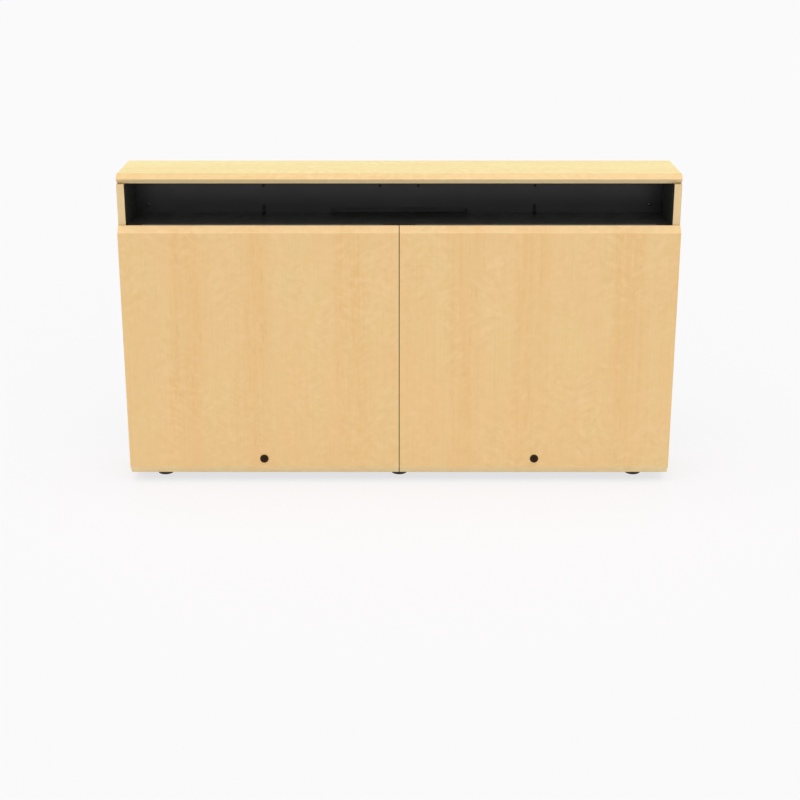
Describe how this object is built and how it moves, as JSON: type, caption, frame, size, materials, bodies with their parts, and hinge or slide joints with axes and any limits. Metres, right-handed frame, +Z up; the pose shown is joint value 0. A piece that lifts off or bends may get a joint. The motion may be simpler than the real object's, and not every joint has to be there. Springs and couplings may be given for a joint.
{
  "type": "wall-mounted credenza",
  "caption": "Shallow wall-mounted media credenza in pale maple with an open black niche above lift-up doors, cam locks, gas struts and levelling feet.",
  "frame": {"origin": "centre of the footprint at floor level, under the levelling feet", "axes": "+X to the right seen from the front, +Y back to the wall, +Z up"},
  "size_m": [1.4, 0.205, 0.812],
  "materials": {
    "maple_laminate": "pale maple laminate, satin",
    "black_laminate": "black laminate, satin",
    "rail_wood": "planed softwood, stained black",
    "dowel_wood": "fluted beech",
    "hinge_steel": "black-coated rolled steel",
    "screw_steel": "zinc-plated steel",
    "black_zinc": "black-plated zinc die casting",
    "zinc_plate": "zinc-plated pressed steel",
    "strut_tube": "black enamel",
    "strut_rod_chrome": "ground and chromed",
    "foot_plastic": "moulded black nylon",
    "block_plastic": "moulded black plastic",
    "black_fitting": "black-coated steel",
    "bumper_rubber": "translucent soft polyurethane"
  },
  "bodies": {
    "carcase": {"back_panel_screws": "black_fitting", "bottom_panel": "black_laminate", "centre_partition": "black_laminate", "door_bumpers": "bumper_rubber", "foot_inserts": "zinc_plate", "hanging_rail": "rail_wood", "joint_blocks": "block_plastic", "left_hinge_carcase_leaf": "hinge_steel", "left_hinge_carcase_screws": "screw_steel", "left_hinge_pin": "hinge_steel", "left_side_panel": "maple_laminate", "left_strike_plate": "zinc_plate", "left_strut_cabinet_bracket": "strut_tube", "lower_back_panel": "black_laminate", "lower_wall_rail": "rail_wood", "niche_back_panel": "black_laminate", "niche_brackets": "black_fitting", "niche_shelf": "black_laminate", "right_hinge_carcase_leaf": "hinge_steel", "right_hinge_carcase_screws": "screw_steel", "right_hinge_pin": "hinge_steel", "right_side_panel": "maple_laminate", "right_strike_plate": "zinc_plate", "right_strut_cabinet_bracket": "strut_tube", "strike_screws": "screw_steel", "top_dowels": "dowel_wood", "top_panel": "maple_laminate"},
    "left_door": {"left_door": "maple_laminate", "left_hinge_door_leaf": "hinge_steel", "left_hinge_door_screws": "screw_steel", "left_lock_housing": "black_zinc", "left_lock_nut": "zinc_plate", "left_strut_door_bracket": "strut_tube"},
    "left_lock": {"left_lock_plug": "black_zinc", "left_lock_cam": "zinc_plate", "left_lock_cam_screw": "screw_steel"},
    "left_strut": {"left_strut_cylinder": "strut_tube"},
    "left_rod": {"left_strut_rod": "strut_rod_chrome"},
    "right_door": {"right_door": "maple_laminate", "right_hinge_door_leaf": "hinge_steel", "right_hinge_door_screws": "screw_steel", "right_lock_housing": "black_zinc", "right_lock_nut": "zinc_plate", "right_strut_door_bracket": "strut_tube"},
    "right_lock": {"right_lock_plug": "black_zinc", "right_lock_cam": "zinc_plate", "right_lock_cam_screw": "screw_steel"},
    "right_strut": {"right_strut_cylinder": "strut_tube"},
    "right_rod": {"right_strut_rod": "strut_rod_chrome"},
    "front_left_foot_body": {"front_left_foot": "foot_plastic"},
    "front_centre_foot_body": {"front_centre_foot": "foot_plastic"},
    "front_right_foot_body": {"front_right_foot": "foot_plastic"},
    "rear_left_foot_body": {"rear_left_foot": "foot_plastic"},
    "rear_centre_foot_body": {"rear_centre_foot": "foot_plastic"},
    "rear_right_foot_body": {"rear_right_foot": "foot_plastic"}
  },
  "joints": [
    {"name": "left_door_hinge", "type": "hinge", "parent": "carcase", "child": "left_door", "pos_m": [-0.3505, -0.0802, 0.6847], "axis": [-1, 0, 0], "range_deg": [0, 90]},
    {"name": "left_lock_turn", "type": "hinge", "parent": "left_door", "child": "left_lock", "pos_m": [-0.3505, -0.1025, 0.0665], "axis": [0, 1, 0], "range_deg": [0, 90]},
    {"name": "left_strut_swing", "type": "hinge", "parent": "carcase", "child": "left_strut", "pos_m": [-0.6695, -0.0352, 0.6356], "axis": [-1, 0, 0], "range_deg": [0, 88.77]},
    {"name": "left_rod_slide", "type": "slide", "parent": "left_strut", "child": "left_rod", "axis": [0, -0.1191, -0.9929], "range_m": [0, 0.0942]},
    {"name": "right_door_hinge", "type": "hinge", "parent": "carcase", "child": "right_door", "pos_m": [0.3505, -0.0802, 0.6847], "axis": [-1, 0, 0], "range_deg": [0, 90]},
    {"name": "right_lock_turn", "type": "hinge", "parent": "right_door", "child": "right_lock", "pos_m": [0.3505, -0.1025, 0.0665], "axis": [0, -1, 0], "range_deg": [0, 90]},
    {"name": "right_strut_swing", "type": "hinge", "parent": "carcase", "child": "right_strut", "pos_m": [0.6695, -0.0352, 0.6356], "axis": [-1, 0, 0], "range_deg": [0, 88.77]},
    {"name": "right_rod_slide", "type": "slide", "parent": "right_strut", "child": "right_rod", "axis": [0, -0.1191, -0.9929], "range_m": [0, 0.0942]},
    {"name": "front_left_foot_turn", "type": "hinge", "parent": "carcase", "child": "front_left_foot_body", "pos_m": [-0.619, -0.0285, 0], "axis": [0, 0, 1], "continuous": true},
    {"name": "front_centre_foot_turn", "type": "hinge", "parent": "carcase", "child": "front_centre_foot_body", "pos_m": [0, -0.0285, 0], "axis": [0, 0, 1], "continuous": true},
    {"name": "front_right_foot_turn", "type": "hinge", "parent": "carcase", "child": "front_right_foot_body", "pos_m": [0.619, -0.0285, 0], "axis": [0, 0, 1], "continuous": true},
    {"name": "rear_left_foot_turn", "type": "hinge", "parent": "carcase", "child": "rear_left_foot_body", "pos_m": [-0.619, 0.0505, 0], "axis": [0, 0, 1], "continuous": true},
    {"name": "rear_centre_foot_turn", "type": "hinge", "parent": "carcase", "child": "rear_centre_foot_body", "pos_m": [0, 0.0505, 0], "axis": [0, 0, 1], "continuous": true},
    {"name": "rear_right_foot_turn", "type": "hinge", "parent": "carcase", "child": "rear_right_foot_body", "pos_m": [0.619, 0.0505, 0], "axis": [0, 0, 1], "continuous": true}
  ],
  "couplings": [
    {"joint": "left_strut_swing", "follows": "left_door_hinge", "ratio": 0.98517},
    {"joint": "left_rod_slide", "follows": "left_door_hinge", "m_per_rad": 0.059843},
    {"joint": "right_strut_swing", "follows": "right_door_hinge", "ratio": 0.98517},
    {"joint": "right_rod_slide", "follows": "right_door_hinge", "m_per_rad": 0.059843}
  ]
}
